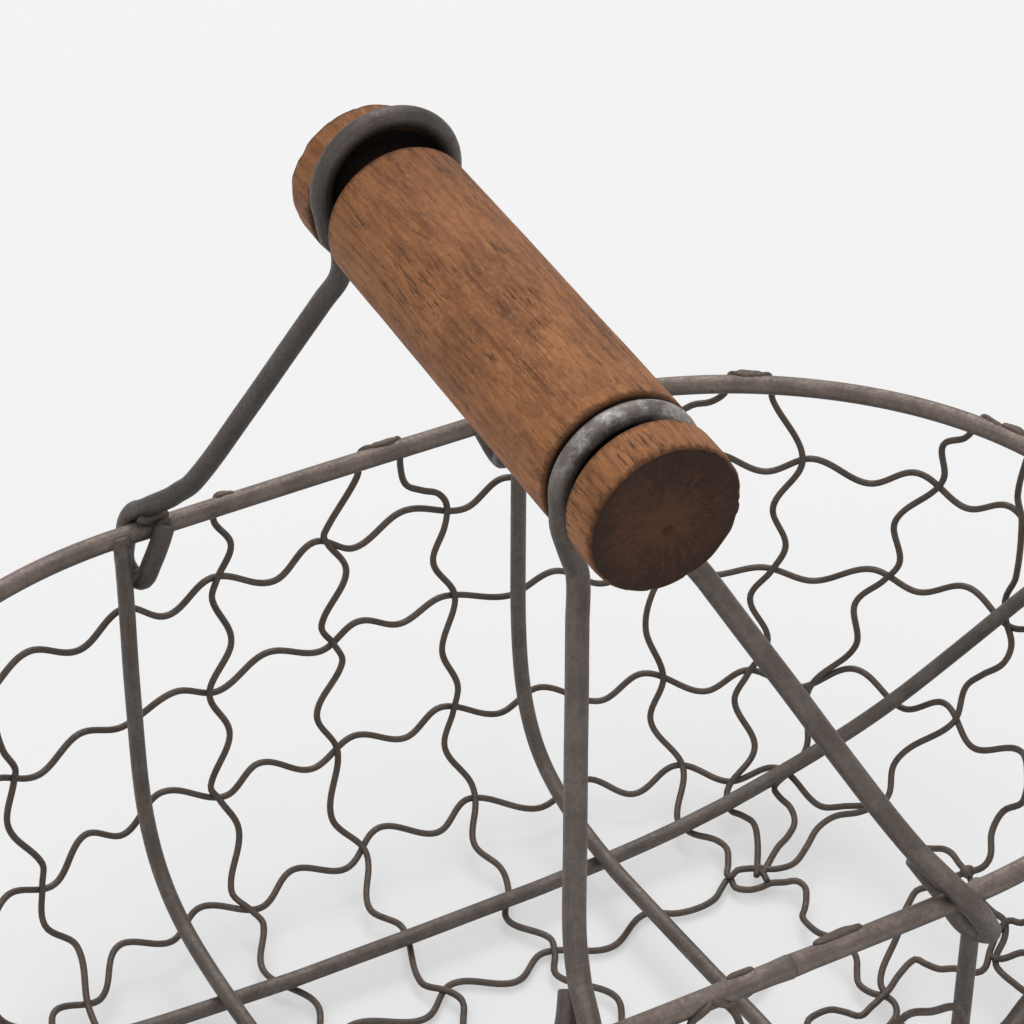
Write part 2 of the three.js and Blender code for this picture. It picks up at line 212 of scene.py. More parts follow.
def finishPiece(shape, name, materials, body, nodes):
    bmesh.ops.recalc_face_normals(shape, faces=shape.faces)
    bmesh.ops.scale(shape, vec=(millimetre,) * 3, verts=shape.verts)
    mesh = bpy.data.meshes.new(name)
    shape.to_mesh(mesh)
    shape.free()
    mesh.shade_smooth()
    for material in materials:
        mesh.materials.append(material)
    piece = bpy.data.objects.new(name, mesh)
    bpy.context.scene.collection.objects.link(piece)
    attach(piece, body)
    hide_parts(*nodes)
    return piece


# Material helpers: a socket takes a link from another node, or a plain value
def feed(tree, socket, value):
    if isinstance(value, bpy.types.NodeSocket):
        tree.links.new(value, socket)
    else:
        socket.default_value = value


def addNode(tree, kind, settings=None, **inputs):
    node = tree.nodes.new("ShaderNode" + kind)
    for key, value in (settings or {}).items():
        setattr(node, key, value)
    for key, value in inputs.items():
        feed(tree, node.inputs[key], value)
    return node


def mixColour(tree, factor, a, b):
    node = addNode(tree, "Mix", {"data_type": "RGBA"})
    for index, value in ((0, factor), (6, a), (7, b)):
        feed(tree, node.inputs[index], value)
    return node.outputs[2]


# Tints of a plan over a colour, one after another, each through its own mask
def layTints(tree, colour, plan, tints):
    for mask, tint in tints:
        colour = mixColour(tree, mask, colour, plan[tint])
    return colour


def calc(tree, operation, a, b=0.0):
    node = addNode(tree, "Math", {"operation": operation})
    feed(tree, node.inputs[0], a)
    feed(tree, node.inputs[1], b)
    return node.outputs[0]


def times(tree, a, b):
    return calc(tree, "MULTIPLY", a, b)


def ramp(tree, value, low, high, toLow=0.0, toHigh=1.0):
    node = addNode(tree, "MapRange", {"interpolation_type": "SMOOTHSTEP"}, Value=value)
    for index, number in zip((1, 2, 3, 4), (low, high, toLow, toHigh)):
        node.inputs[index].default_value = number
    return node.outputs[0]


def stretch(tree, vector, scale):
    return addNode(tree, "Mapping", {"vector_type": "POINT"}, Vector=vector, Scale=scale).outputs[0]


def cloud(tree, vector, scale, detail=3.0, roughness=0.55):
    node = addNode(tree, "TexNoise", None, Vector=vector, Scale=scale, Detail=detail, Roughness=roughness)
    return node.outputs[0]


def partsOf(tree, vector):
    return addNode(tree, "SeparateXYZ", None, Vector=vector).outputs


# Distance from the axis that runs along Y
def fromAxis(tree, vector):
    flat = stretch(tree, vector, (1, 0, 1))
    return addNode(tree, "VectorMath", {"operation": "LENGTH"}, Vector=flat).outputs[1]


def newGroup(name, inputs, outputs):
    tree = bpy.data.node_groups.new(name, "ShaderNodeTree")
    for label, kind in inputs:
        tree.interface.new_socket(label, in_out="INPUT", socket_type=kind)
    for label, kind in outputs:
        tree.interface.new_socket(label, in_out="OUTPUT", socket_type=kind)
    return tree, tree.nodes.new("NodeGroupInput").outputs, tree.nodes.new("NodeGroupOutput").inputs


def useGroup(tree, group, **inputs):
    node = tree.nodes.new("ShaderNodeGroup")
    node.node_tree = group
    for key, value in inputs.items():
        feed(tree, node.inputs[key], value)
    return node.outputs


# Blotches of old finish, coarse and fine, for wire and wood alike
def makeBlotches():
    tree, source, result = newGroup(
        "blotches",
        [("Place", "NodeSocketVector"), ("Size", "NodeSocketFloat")],
        [("Broad", "NodeSocketFloat"), ("Fine", "NodeSocketFloat")],
    )
    broad = cloud(tree, source["Place"], 1.0, 4.0, 0.6)
    tree.links.new(source["Size"], broad.node.inputs["Scale"])
    tree.links.new(ramp(tree, broad, 0.33, 0.67), result["Broad"])
    fine = cloud(tree, source["Place"], 1.0, 5.0, 0.65)
    tree.links.new(times(tree, source["Size"], 7.0), fine.node.inputs["Scale"])
    tree.links.new(ramp(tree, fine, 0.3, 0.7), result["Fine"])
    return tree


# Thin marks that run lengthwise, along the first axis of the given space
def makeStreaks():
    tree, source, result = newGroup(
        "streaks",
        [("Place", "NodeSocketVector"), ("Scale", "NodeSocketFloat")],
        [("Mask", "NodeSocketFloat"), ("Lines", "NodeSocketFloat")],
    )
    drawn = stretch(tree, source["Place"], (0.05, 1.0, 1.0))
    grain = cloud(tree, drawn, 1.0, 4.0, 0.6)
    tree.links.new(source["Scale"], grain.node.inputs["Scale"])
    tree.links.new(ramp(tree, grain, 0.3, 0.7), result["Mask"])
    nearHalf = calc(tree, "ABSOLUTE", calc(tree, "SUBTRACT", grain, 0.5))
    tree.links.new(ramp(tree, nearHalf, 0.004, 0.02, 1.0, 0.0), result["Lines"])
    return tree


blotches = makeBlotches()
streaks = makeStreaks()


def newMaterial(name):
    material = bpy.data.materials.new(name)
    material.use_nodes = True
    return material, material.node_tree, material.node_tree.nodes["Principled BSDF"]


def setShader(tree, shader, settings):
    for label, value in settings.items():
        feed(tree, shader.inputs[label], value)


def addBump(tree, shader, relief, plan):
    depth = plan["bumpDepth"] * millimetre
    bump = addNode(tree, "Bump", None, Strength=plan["bump"], Distance=depth, Height=relief)
    setShader(tree, shader, {"Normal": bump.outputs[0]})


wirePlan = {
    "patchSize": 0.16, "drawnScale": 1.6, "scuffSize": 0.32, "metallic": 0.5, "bump": 0.35, "bumpDepth": 0.16,
    "weldTint": (0.15, 0.115, 0.092, 1), "farShadeTint": (0.03, 0.028, 0.028, 1), "farShadeShare": 0.4,
    "wornTint": (0.46, 0.445, 0.43, 1), "wornHeights": (186.0, 200.0), "underShadeShare": 0.35,
}


# Dark bare wire with a thin brown patina, lengthwise drawing marks and painted shade on its underside.
# On a handle loop the near ring is worn bright by hands, and the far loop is darkened all over as painted
# shade
def makeWireMaterial(name, dark, light, roughness, handled):
    material, tree, shader = newMaterial(name)
    plan = dict(wirePlan, dark=dark, light=light)
    space = addNode(tree, "Attribute", {"attribute_name": "wireSpace"}).outputs["Vector"]
    weld = addNode(tree, "Attribute", {"attribute_name": "weldMark"}).outputs["Fac"]
    place = stretch(tree, addNode(tree, "TexCoord").outputs["Object"], (1 / millimetre,) * 3)
    patch = useGroup(tree, blotches, Place=place, Size=plan["patchSize"])
    drawn = useGroup(tree, streaks, Place=space, Scale=plan["drawnScale"])["Mask"]
    colour = mixColour(tree, ramp(tree, patch["Broad"], 0.0, 1.0, 0.28, 0.72), dark, light)
    colour = layTints(tree, colour, plan, [
        (times(tree, drawn, 0.42), "light"),
        (times(tree, patch["Fine"], 0.38), "dark"),
        (times(tree, weld, 0.5), "weldTint"),
    ])
    rough = ramp(tree, patch["Fine"], 0.0, 1.0, roughness - 0.06, roughness + 0.1)
    if handled:
        parts = partsOf(tree, place)
        far = ramp(tree, parts[1], -25.0, 25.0)
        scuff = useGroup(tree, blotches, Place=space, Size=plan["scuffSize"])
        worn = times(tree, ramp(tree, parts[2], *plan["wornHeights"]), calc(tree, "SUBTRACT", 1.0, far))
        worn = times(tree, worn, ramp(tree, scuff["Broad"], 0.1, 0.9, 0.15, 1.0))
        worn = times(tree, worn, ramp(tree, scuff["Fine"], 0.0, 0.8, 0.35, 1.0))
        # Painted shade over the whole far loop
        paintedFarShade = times(tree, far, plan["farShadeShare"])
        colour = layTints(tree, colour, plan, [(paintedFarShade, "farShadeTint"), (worn, "wornTint")])
        rough = calc(tree, "SUBTRACT", rough, times(tree, worn, 0.1))
    # Painted shade: faces that turn downwards get a darker colour
    normal = partsOf(tree, addNode(tree, "NewGeometry").outputs["Normal"])
    paintedUnderShade = [plan["underShadeShare"] * part for part in dark[:3]] + [1]
    colour = mixColour(tree, ramp(tree, normal[2], -0.55, 0.35, 0.8, 0.0), colour, paintedUnderShade)
    relief = calc(tree, "ADD", patch["Fine"], drawn)
    addBump(tree, shader, relief, plan)
    setShader(tree, shader, {"Base Color": colour, "Roughness": rough, "Metallic": plan["metallic"]})
    return material


darkWire = makeWireMaterial("darkWire", (0.108, 0.084, 0.07, 1), (0.288, 0.234, 0.2, 1), 0.48, False)
ribWire = makeWireMaterial("ribWire", (0.088, 0.072, 0.062, 1), (0.205, 0.171, 0.149, 1), 0.48, False)
loopWire = makeWireMaterial("loopWire", (0.09, 0.072, 0.062, 1), (0.222, 0.182, 0.159, 1), 0.45, True)
netWire = makeWireMaterial("netWire", (0.074, 0.056, 0.045, 1), (0.158, 0.124, 0.102, 1), 0.52, False)

gripPlan = {
    "centre": Vector((-3.9, 2.0, 189.0)), "pitch": math.radians(1.82), "yaw": math.radians(-2.21),
    "radius": 15.0, "length": 122.0, "edge": 1.0, "grooveInset": 13.1, "grooveDepth": 4.9,
    "grooveHalfWidth": 4.05, "grooveLip": 0.7, "grooveFillet": 0.4, "cornerPull": 0.55, "cornerPoints": 6,
    "turns": 128, "faceStep": 0.5, "bodyStep": 1.6, "pinMark": Vector((0.4, 0, -2.3)), "pinRadius": 1.3,
    "pinDepth": 0.9,
}
gripTurn = Euler((gripPlan["pitch"], 0, gripPlan["yaw"])).to_quaternion()
gripPose = Matrix.LocRotScale(gripPlan["centre"], gripTurn, None)


def gripSpace(tree):
    place = addNode(tree, "TexCoord").outputs["Object"]
    centre = gripPlan["centre"] * millimetre
    node = addNode(tree, "Mapping", {"vector_type": "TEXTURE"}, Vector=place, Location=centre)
    node.inputs["Rotation"].default_value = (gripPlan["pitch"], 0, gripPlan["yaw"])
    node.inputs["Scale"].default_value = (millimetre,) * 3
    return node.outputs[0]


woodPlan = {
    "low": (0.22, 0.087, 0.034, 1), "high": (0.42, 0.176, 0.067, 1), "light": (0.49, 0.215, 0.09, 1),
    "bright": (0.5, 0.215, 0.085, 1), "pale": (0.5, 0.235, 0.1, 1), "dark": (0.135, 0.053, 0.024, 1),
    "fibre": (0.165, 0.066, 0.029, 1), "fleck": (0.1, 0.042, 0.02, 1), "split": (0.035, 0.017, 0.01, 1),
    "worn": (0.045, 0.02, 0.011, 1), "grooveShade": (0.008, 0.006, 0.005, 1), "bump": 0.45, "bumpDepth": 0.3,
}


# Stained wood with the grain along the grip, flecked and split, dark at its worn edges, with painted shade
# deep in the grooves
def makeWoodMaterial():
    material, tree, shader = newMaterial("gripWood")
    space = gripSpace(tree)
    parts = partsOf(tree, space)
    lengthwise = addNode(tree, "CombineXYZ", None, X=parts[1], Y=parts[0], Z=parts[2]).outputs[0]

    def drawnOut(share):
        return stretch(tree, lengthwise, (share, 1, 1))

    patch = useGroup(tree, blotches, Place=drawnOut(0.45), Size=0.085)
    fibre = useGroup(tree, streaks, Place=drawnOut(1.5), Scale=1.9)["Mask"]
    grain = useGroup(tree, streaks, Place=drawnOut(1.8), Scale=0.75)["Mask"]
    crack = useGroup(tree, streaks, Place=drawnOut(1.4), Scale=0.5)["Lines"]
    mottle = cloud(tree, drawnOut(0.3), 0.42, 6.0, 0.7)
    fleck = cloud(tree, drawnOut(0.3), 1.3, 3.0, 0.6)
    speckle = cloud(tree, drawnOut(0.35), 1.7, 4.0, 0.65)
    split = times(tree, crack, ramp(tree, cloud(tree, lengthwise, 0.09, 2.0), 0.46, 0.6))
    fray = times(tree, calc(tree, "SUBTRACT", cloud(tree, space, 0.7, 4.0, 0.7), 0.5), 4.0)
    half = gripPlan["length"] / 2
    fromMiddle = calc(tree, "ABSOLUTE", parts[1])
    toGroove = calc(tree, "ABSOLUTE", calc(tree, "SUBTRACT", fromMiddle, half - gripPlan["grooveInset"]))
    toEnd = calc(tree, "SUBTRACT", half, fromMiddle)
    colour = mixColour(tree, patch["Broad"], woodPlan["low"], woodPlan["high"])
    colour = layTints(tree, colour, woodPlan, [
        (times(tree, grain, 0.42), "light"),
        (ramp(tree, grain, 0.55, 0.05, 0.0, 0.4), "dark"),
        (ramp(tree, mottle, 0.48, 0.66, 0.0, 0.4), "bright"),
        (ramp(tree, mottle, 0.5, 0.34, 0.0, 0.4), "dark"),
        (times(tree, fibre, 0.36), "fibre"),
        (ramp(tree, speckle, 0.52, 0.67, 0.0, 0.35), "pale"),
        (ramp(tree, speckle, 0.48, 0.33, 0.0, 0.4), "dark"),
        (ramp(tree, fleck, 0.6, 0.72, 0.0, 0.35), "fleck"),
        (ramp(tree, parts[1], -30.0, 60.0, 0.0, 0.22), "dark"),
        (times(tree, split, 0.7), "split"),
        (ramp(tree, calc(tree, "ADD", toGroove, fray), 4.3, 5.6, 0.6, 0.0), "worn"),
        (ramp(tree, calc(tree, "ADD", toEnd, fray), 0.3, 1.7, 0.65, 0.0), "worn"),
        # Painted shade: wood below the outer surface, in the grooves, turns nearly black
        (ramp(tree, fromAxis(tree, space), 13.6, 14.8, 0.95, 0.0), "grooveShade"),
    ])
    relief = calc(tree, "ADD", calc(tree, "ADD", fibre, patch["Fine"]), times(tree, mottle, 2.0))
    relief = calc(tree, "SUBTRACT", relief, times(tree, split, 2.5))
    addBump(tree, shader, relief, woodPlan)
    rough = ramp(tree, patch["Fine"], 0, 1, 0.55, 0.7)
    setShader(tree, shader, {"Base Color": colour, "Roughness": rough, "Specular IOR Level": 0.18})
    return material


endGrainPlan = {
    "low": (0.034, 0.0125, 0.0062, 1), "high": (0.07, 0.0265, 0.0125, 1), "ring": (0.09, 0.036, 0.017, 1),
    "pore": (0.015, 0.007, 0.0045, 1), "rayLight": (0.115, 0.044, 0.02, 1), "heart": (0.105, 0.042, 0.019, 1),
    "rayDark": (0.018, 0.008, 0.005, 1), "edge": (0.026, 0.0125, 0.0072, 1), "ringShift": (3.0, 0, 5.5),
    "bump": 0.4, "bumpDepth": 0.3,
}


# Dark end grain with rings, pores and rays
def makeEndGrain():
    material, tree, shader = newMaterial("gripEndGrain")
    space = gripSpace(tree)
    parts = partsOf(tree, space)
    heart = addNode(tree, "Mapping", None, Vector=space, Location=endGrainPlan["ringShift"]).outputs[0]
    reach = fromAxis(tree, heart)
    warp = times(tree, cloud(tree, space, 0.25, 2.0), 9.0)
    rings = ramp(tree, calc(tree, "SINE", calc(tree, "ADD", times(tree, reach, 3.6), warp)), -1.0, 1.0)
    patch = useGroup(tree, blotches, Place=space, Size=0.14)
    pore = ramp(tree, cloud(tree, stretch(tree, space, (1, 0.1, 1)), 3.2, 2.0), 0.54, 0.66)
    turned = times(tree, calc(tree, "ARCTAN2", parts[2], parts[0]), 9.0)
    rays = addNode(tree, "CombineXYZ", None, X=turned, Y=times(tree, reach, 0.22)).outputs[0]
    ray = cloud(tree, rays, 1.0, 4.0, 0.65)
    ragged = calc(tree, "ADD", fromAxis(tree, space), times(tree, cloud(tree, space, 0.5, 4.0, 0.7), 9.0))
    colour = mixColour(tree, patch["Broad"], endGrainPlan["low"], endGrainPlan["high"])
    colour = layTints(tree, colour, endGrainPlan, [
        (times(tree, rings, 0.18), "ring"),
        (times(tree, pore, 0.5), "pore"),
        (ramp(tree, ray, 0.5, 0.68, 0.0, 0.4), "rayLight"),
        (ramp(tree, ray, 0.5, 0.34, 0.0, 0.45), "rayDark"),
        (ramp(tree, ragged, 6.0, 13.0, 0.55, 0.0), "heart"),
        (ramp(tree, ragged, 13.0, 19.0, 0.0, 0.75), "edge"),
    ])
    relief = calc(tree, "SUBTRACT", times(tree, rings, 0.3), pore)
    addBump(tree, shader, relief, endGrainPlan)
    setShader(tree, shader, {"Base Color": colour, "Roughness": 0.75, "Specular IOR Level": 0.25})
    return material


gripWood = makeWoodMaterial()
endGrain = makeEndGrain()
print("materials made")

# Rim: one ring, its two ends butted on the near side
rimPlan = {
    "radius": 2.1, "seam": nearMiddle - 5.1, "gap": 0.6, "step": 2.0, "sides": 24, "sleeve": 4.0,
    "swell": (0.1, 0.04), "wobble": (0.18, 0.03),
}


def makeRim():
    shape = newShape()
    length = rimLength - rimPlan["gap"]
    count = round(length / rimPlan["step"])
    start = rimPlan["seam"] + rimPlan["gap"] / 2
    path = [besideRim(start + length * i / count, 0, 0) for i in range(count + 1)]

    def girth(run):
        swollen = rimPlan["swell"][0 if run < length / 2 else 1]
        return 1 + swollen * max(0, 1 - min(run, length - run) / rimPlan["sleeve"])

    sweepWire(shape, wobble(path, *rimPlan["wobble"], 3), rimPlan["radius"], rimPlan["sides"], girth)
    return finishPiece(shape, "rimRing", [darkWire], "frame", ["rim_ring"])


makeRim()

# Cross ribs and long ribs, welded under the rim
ribPlan = {
    "radius": 1.75, "sides": 20, "step": 2.0, "wobble": (0.15, 0.04), "topDrop": 2.45, "crossInset": 2.2,
    "crossLift": 3.8, "leftPlaces": (-47.0, -45.6), "rightPlaces": (47.0, 47.0), "leftBow": [(0, 0)],
    "rightBow": [
        (-85, 0), (-60, 1.3), (-35, 1.9), (-15, 1.45), (0, 0.65), (20, 0), (38, -0.75), (60, -0.4), (80, 0)],
    "longHalfGaps": (45.7, 47.5), "longSpread": (30.0, 75.0), "longStraight": 82.0, "longEndReach": 58.0,
    "headOut": 0.8, "headLift": 2.7, "weld": (2.1, 0.85, 1.9), "weldIn": 0.75, "weldDrop": 0.4,
    "endsFrom": 100.0, "padsFrom": -80.0, "crossPoints": 40, "longPoints": 30, "turnPoints": 120,
}
ribTop = hull["rimHeight"] - ribPlan["topDrop"]


# A cross rib stands a little askew and bows: its places at the far and near rim, then shifts by width
def crossRibPath(places, bow):
    floor = hull["floor"] + ribPlan["crossLift"]
    depth = hull["rimHeight"] - floor
    halfWidth = abs(besideRim(places[0], 0, 0).y) - ribPlan["crossInset"]
    power = hull["sideSquareness"]
    corner = 0.5 ** (1 / power)
    half = []
    for share in np.linspace((hull["rimHeight"] - ribTop) / depth, corner, ribPlan["crossPoints"]):
        half.append((halfWidth * (1 - share ** power) ** (1 / power), hull["rimHeight"] - depth * share))
    for share in np.linspace(corner, 0, ribPlan["crossPoints"])[1:]:
        half.append((halfWidth * share, hull["rimHeight"] - depth * (1 - share ** power) ** (1 / power)))
    path = []
    for y, z in half + [(-y, z) for y, z in reversed(half[:-1])]:
        shift = float(np.interp(y, *zip(*bow)))
        path.append(Vector((blend(*places, 0.5 - y / halfWidth / 2) + shift, y, z)))
    return path


def longRibGap(x):
    start, finish = ribPlan["longSpread"]
    return blend(*ribPlan["longHalfGaps"], min(max((x - start) / (finish - start), 0), 1))


def longRibPath(side):
    right = []
    for x in np.linspace(0, ribPlan["longStraight"], ribPlan["longPoints"]):
        right.append(Vector((x, side * longRibGap(x), hullHeight(x, longRibGap(x)))))
    for turn in np.linspace(0, math.pi / 2, ribPlan["turnPoints"])[1:]:
        x = ribPlan["longStraight"] + ribPlan["longEndReach"] * math.sin(turn)
        y = longRibGap(x) * math.cos(turn)
        height = hullHeight(x, y)
        if height > ribTop:
            break
        right.append(Vector((x, side * y, height)))
    return [Vector((-point.x, point.y, point.z)) for point in reversed(right[1:])] + right


# The ends run up against the inside of the rim, most of them under a flat lump of weld
def makeRib(name, node, path, seed):
    shape = newShape()
    path = smoothPath(wobble(path, *ribPlan["wobble"], seed), ribPlan["step"])
    for end in (0, -1):
        onEnd = abs(path[end].x) > ribPlan["endsFrom"]
        inward = -Vector((path[end].x if onEnd else 0, path[end].y, 0)).normalized()
        head = path[end] - inward * ribPlan["headOut"] + ribPlan["headLift"] * upward
        path.insert(0 if end == 0 else len(path), head)
        if head.y > ribPlan["padsFrom"]:
            weld = head + inward * ribPlan["weldIn"] - ribPlan["weldDrop"] * upward
            addLump(shape, weld, ribPlan["weld"], inward.to_track_quat("Y", "Z"), seed + end)
    sweepWire(shape, path, ribPlan["radius"], ribPlan["sides"])
    return finishPiece(shape, name, [ribWire], "frame", [node])


makeRib("crossRibLeft", "cross_rib_left", crossRibPath(ribPlan["leftPlaces"], ribPlan["leftBow"]), 5)
makeRib("crossRibRight", "cross_rib_right", crossRibPath(ribPlan["rightPlaces"], ribPlan["rightBow"]), 7)
makeRib("longRibFar", "long_rib_far", longRibPath(1), 11)
makeRib("longRibNear", "long_rib_near", longRibPath(-1), 13)
print("rim and ribs made")

# Handle loops: over the grip in its groove, down two legs, hooked round the rim.
# Hook points are given for the right leg as length, width and rise over the rim
loopPlan = {
    "radius": 2.15, "sides": 24, "step": 1.2, "ring": 12.8, "ringPoints": 25, "wobble": (0.1, 0.06),
    "legShares": (0, 0.12, 0.4, 0.7, 0.93), "footOut": 0.3, "weld": (1.9, 1, 1.7),
    "weldShift": Vector((0, 0.9, -0.3)), "seat": Vector((39.5, 86, 4)), "seatWeld": (3.6, 1.2, 1.2),
    "far": {
        "shift": 1.4, "slack": 0.8, "rise": 4.75, "exits": {-1: 17, 1: 17},
        "hugs": {-1: [(-11.8, -4.8), (-9.5, -8.5)], 1: [(11.8, -4.8), (9.5, -8.5)]},
        "feet": {-1: (-9.7, -14.6), 1: (10.5, -14.4)},
        "shoulders": {-1: (31.5, 75.1, 20.9), 1: (31.9, 75.1, 20.9)},
        "hooks": {
            -1: [
                (32.8, 76.7, 17.9), (34.2, 78.5, 14.8), (35.7, 80.4, 12.6), (37, 82.1, 10.6),
                (39.4, 85.4, 7.6), (40.8, 88.3, 5), (41.6, 91, 2.9), (42.7, 92.15, 0), (43.4, 92.15, -4.5),
                (44.4, 91, -8.8), (43.5, 88.4, -11.5), (42.6, 85.6, -10.6), (41.2, 83.7, -5.3),
                (39.4, 83.5, -1), (37.8, 84, 2.4)],
            1: [
                (33.1, 76.7, 17.9), (34.4, 78.5, 14.8), (35.7, 80.4, 12.6), (37, 82.1, 10.6),
                (39, 85.4, 7.6), (40.3, 88.3, 5.1), (40.9, 91, 3), (40.8, 92.15, 0), (41.2, 92.15, -3.5),
                (42.6, 91, -7.4), (43.4, 88.4, -9.9), (43.2, 85.8, -9.2), (42, 83.9, -4.5),
                (40.8, 83.7, -1), (39.5, 84.2, 2.4)],
        },
    },
    "near": {
        "shift": -1.5, "slack": 0, "rise": 0, "exits": {-1: 12, 1: 42},
        "hugs": {-1: [(-12.3, -7), (-10.4, -13.5)], 1: []},
        "feet": {-1: (-8.8, -19.2), 1: (11.7, -19.2)},
        "shoulders": {-1: (34.2, 78.2, 11.9), 1: (34.2, 78.2, 11.9)},
        "hooks": {
            -1: [
                (34.9, 81.4, 9.2), (35.6, 84.2, 7.4), (36.5, 87.6, 5.4), (37.8, 91.3, 2.6),
                (39.4, 92.2, -0.9), (41, 91.9, -3.9), (42.6, 91, -7), (43.4, 89.2, -8.8),
                (42.8, 87.3, -8.9), (41.6, 85.9, -7.6), (40.4, 84.4, -5), (39.6, 83.4, -3), (38.3, 82.5, 0),
                (37.3, 81.6, 2), (35.4, 79, 5.2)],
            1: [
                (35.9, 81.4, 9.2), (37.3, 84.2, 7.4), (38.9, 87.6, 5.4), (41.1, 91.3, 2.6),
                (43.4, 92.2, -0.9), (45.2, 91.9, -3.9), (47, 91, -7.3), (47.2, 89, -9.1), (45.9, 87.1, -9),
                (44.5, 85.9, -7.6), (43.1, 84.6, -5), (42.3, 83.7, -3), (40.6, 82.7, 0), (39.4, 81.8, 2),
                (37.4, 79.2, 5.6)],
        },
    },
}


def loopLeg(side, end, plan, grooveY):
    across, below = plan["feet"][end]
    foot = gripPose @ Vector((across, grooveY + side * loopPlan["footOut"], below))
    length, width, rise = plan["shoulders"][end]
    shoulder = Vector((end * length, side * width, hull["rimHeight"] + rise))
    leg = [gripPose @ Vector((x, grooveY, z)) for x, z in plan["hugs"][end]]
    leg += [foot.lerp(shoulder, share) for share in loopPlan["legShares"]]
    return leg + [Vector((end * x, side * y, hull["rimHeight"] + z)) for x, y, z in plan["hooks"][end]]


def makeLoop(name, node, side, seed):
    plan = loopPlan["far" if side > 0 else "near"]
    grooveY = side * (gripPlan["length"] / 2 - gripPlan["grooveInset"] + plan["shift"])
    radius = loopPlan["ring"] + plan["slack"]
    start = math.pi + math.radians(plan["exits"][-1])
    ring = []
    for angle in np.linspace(start, -math.radians(plan["exits"][1]), loopPlan["ringPoints"]):
        height = plan["rise"] + radius * math.sin(angle)
        ring.append(gripPose @ Vector((radius * math.cos(angle), grooveY, height)))
    left = list(reversed(loopLeg(side, -1, plan, grooveY)))
    right = loopLeg(side, 1, plan, grooveY)
    path = wobble(smoothPath(left + ring + right, loopPlan["step"]), *loopPlan["wobble"], seed)
    shape = newShape()
    sweepWire(shape, path, loopPlan["radius"], loopPlan["sides"])
    if side > 0:
        for end, tip in ((-1, left[0]), (1, right[-1])):
            addLump(shape, tip + loopPlan["weldShift"], loopPlan["weld"], Quaternion(), seed + end)
            seat = loopPlan["seat"] * Vector((end, 1, 1)) + hull["rimHeight"] * upward
            addLump(shape, seat, loopPlan["seatWeld"], Quaternion(), seed + 3 * end)
    return finishPiece(shape, name, [loopWire], "frame", [node])


makeLoop("handleLoopFar", "handle_loop_far", 1, 17)
makeLoop("handleLoopNear", "handle_loop_near", -1, 19)
print("handle loops made")


# Grip: turned roll with worn edges, a groove near each end and a pin mark in each face
def roundCorner(corner, before, after, size, count):
    start = corner + (before - corner).normalized() * size
    finish = corner + (after - corner).normalized() * size
    pull = gripPlan["cornerPull"]
    return interpolate_bezier(start, start.lerp(corner, pull), finish.lerp(corner, pull), finish, count)


def gripOutline():
    radius = gripPlan["radius"]
    half = gripPlan["length"] / 2
    groove = half - gripPlan["grooveInset"]
    floor = radius - gripPlan["grooveDepth"]
    wide = gripPlan["grooveHalfWidth"]
    lip, fillet = gripPlan["grooveLip"], gripPlan["grooveFillet"]
    corners = [(0, -half, 0), (radius, -half, gripPlan["edge"])]
    for middle in (-groove, groove):
        corners += [(radius, middle - wide, lip), (floor, middle - wide, fillet)]
        corners += [(floor, middle + wide, fillet), (radius, middle + wide, lip)]
    corners += [(radius, half, gripPlan["edge"]), (0, half, 0)]
    places = [Vector((corner[0], corner[1], 0)) for corner in corners]
    line = [places[0]]
    for i in range(1, len(places) - 1):
        line += roundCorner(places[i], places[i - 1], places[i + 1], corners[i][2], gripPlan["cornerPoints"])
    line.append(places[-1])
    dense = [line[0]]
    for point in line[1:]:
        span = point - dense[-1]
        onFace = abs(span.y) < 1e-4 and abs(point.y) > half - 0.01
        count = max(1, math.ceil(span.length / gripPlan["faceStep" if onFace else "bodyStep"]))
        start = dense[-1]
        dense += [start.lerp(point, i / count) for i in range(1, count + 1)]
    return dense


# Wear of the wood: overall, in broad dents, in ripples, then at the ends and in chips of their edges
wearPlan = {
    "all": 0.02, "dent": 0.14, "ripple": 0.05, "edge": 0.22, "edgeLength": 2.5, "chip": 0.9, "face": 0.06,
}


